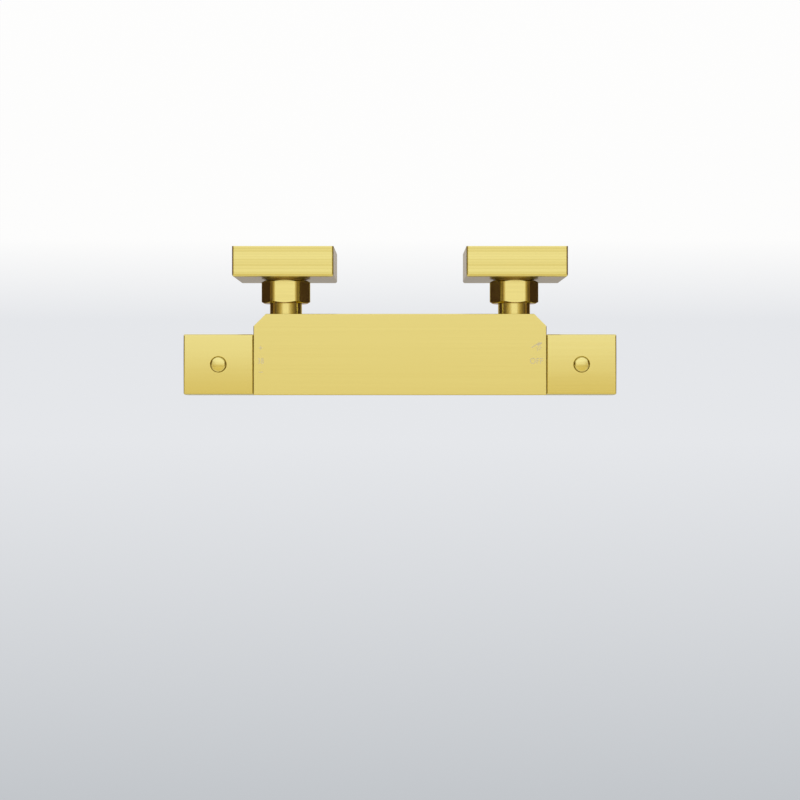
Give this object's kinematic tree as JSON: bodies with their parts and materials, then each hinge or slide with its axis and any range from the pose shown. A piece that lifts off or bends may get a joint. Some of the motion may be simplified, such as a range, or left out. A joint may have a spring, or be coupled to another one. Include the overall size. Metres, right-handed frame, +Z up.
{
  "type": "exposed shower thermostat",
  "caption": "Wall-mounted bar valve for a shower in brushed gold, with square wall covers, union nuts, soft-square handles with push buttons and a threaded outlet underneath.",
  "frame": {"origin": "on the wall plane, midway between the two inlets, at the height of their axes", "axes": "+X to the right along the bar, +Y into the wall, -Y towards the user, +Z up"},
  "size_m": [0.28, 0.0953, 0.066],
  "materials": {
    "brushed_gold": "brushed gold plating, satin",
    "raw_brass": "turned brass",
    "copper": "drawn copper",
    "rubber": "smooth black",
    "plastic": "moulded, off-white",
    "spring_steel": "plain stainless",
    "ceramic": "lapped ceramic"
  },
  "bodies": {
    "valve": {"valve_body": "brushed_gold", "outlet_nipple": "brushed_gold", "outlet_seal": "rubber", "cartridge_sleeve": "raw_brass", "cartridge_end_cap": "raw_brass", "cartridge_seals": "rubber", "temperature_bonnet": "raw_brass", "stop_ring": "plastic", "return_spring": "spring_steel", "headwork_body": "raw_brass", "headwork_seal": "rubber", "fixed_disc": "ceramic", "disc_seal": "rubber", "hot_wall_fitting": "raw_brass", "hot_pipe_seal": "rubber", "hot_pipe_lock_screw": "spring_steel", "hot_rosette": "brushed_gold", "hot_rosette_ring": "rubber", "hot_union_nut": "brushed_gold", "hot_sealing_washer": "rubber", "hot_strainer": "spring_steel", "hot_inlet_tail": "brushed_gold", "hot_tail_seal": "rubber", "hot_check_valve_housing": "plastic", "hot_check_valve_spring": "spring_steel", "cold_wall_fitting": "raw_brass", "cold_pipe_seal": "rubber", "cold_pipe_lock_screw": "spring_steel", "cold_rosette": "brushed_gold", "cold_rosette_ring": "rubber", "cold_union_nut": "brushed_gold", "cold_sealing_washer": "rubber", "cold_strainer": "spring_steel", "cold_inlet_tail": "brushed_gold", "cold_tail_seal": "rubber", "cold_check_valve_housing": "plastic", "cold_check_valve_spring": "spring_steel"},
    "temperature_handle": {"temperature_handle": "brushed_gold", "temperature_carrier": "plastic", "temperature_grub_screw": "spring_steel", "temperature_spindle": "raw_brass", "temperature_spindle_seal": "rubber", "safety_button_spring": "spring_steel"},
    "safety_button": {"safety_button": "brushed_gold"},
    "flow_handle": {"flow_handle": "brushed_gold", "flow_carrier": "plastic", "flow_grub_screw": "spring_steel", "flow_spindle": "raw_brass", "flow_spindle_seal": "rubber", "moving_disc": "ceramic", "eco_button_spring": "spring_steel"},
    "eco_button": {"eco_button": "brushed_gold"},
    "mixing_shuttle": {"pusher": "plastic", "wax_element": "copper", "shuttle": "plastic"},
    "hot_check_valve": {"hot_check_valve_poppet": "plastic"},
    "cold_check_valve": {"cold_check_valve_poppet": "plastic"}
  },
  "joints": [
    {"name": "temperature_turn", "type": "hinge", "parent": "valve", "child": "temperature_handle", "pos_m": [-0.11747, -0.07545, 0], "axis": [-1, 0, 0], "range_deg": [-180, 60]},
    {"name": "safety_press", "type": "slide", "parent": "temperature_handle", "child": "safety_button", "axis": [0, 0, -1], "range_m": [0, 0.002], "stiffness_N_per_m": 500, "springref_m": -0.002, "deforming": ["safety_button_spring"]},
    {"name": "flow_turn", "type": "hinge", "parent": "valve", "child": "flow_handle", "pos_m": [0.11747, -0.07545, 0], "axis": [-1, 0, 0], "range_deg": [0, 90]},
    {"name": "eco_press", "type": "slide", "parent": "flow_handle", "child": "eco_button", "axis": [0, 0, -1], "range_m": [0, 0.002], "stiffness_N_per_m": 500, "springref_m": -0.002, "deforming": ["eco_button_spring"]},
    {"name": "mixing_slide", "type": "slide", "parent": "valve", "child": "mixing_shuttle", "axis": [1, 0, 0], "range_m": [-0.0015, 0.0005], "deforming": ["return_spring"]},
    {"name": "hot_check_open", "type": "slide", "parent": "valve", "child": "hot_check_valve", "axis": [0, -1, 0], "range_m": [0, 0.003], "stiffness_N_per_m": 200, "springref_m": -0.002, "deforming": ["hot_check_valve_spring"]},
    {"name": "cold_check_open", "type": "slide", "parent": "valve", "child": "cold_check_valve", "axis": [0, -1, 0], "range_m": [0, 0.003], "stiffness_N_per_m": 200, "springref_m": -0.002, "deforming": ["cold_check_valve_spring"]}
  ],
  "couplings": [
    {"joint": "mixing_slide", "follows": "temperature_turn", "m_per_rad": 0.000477}
  ]
}
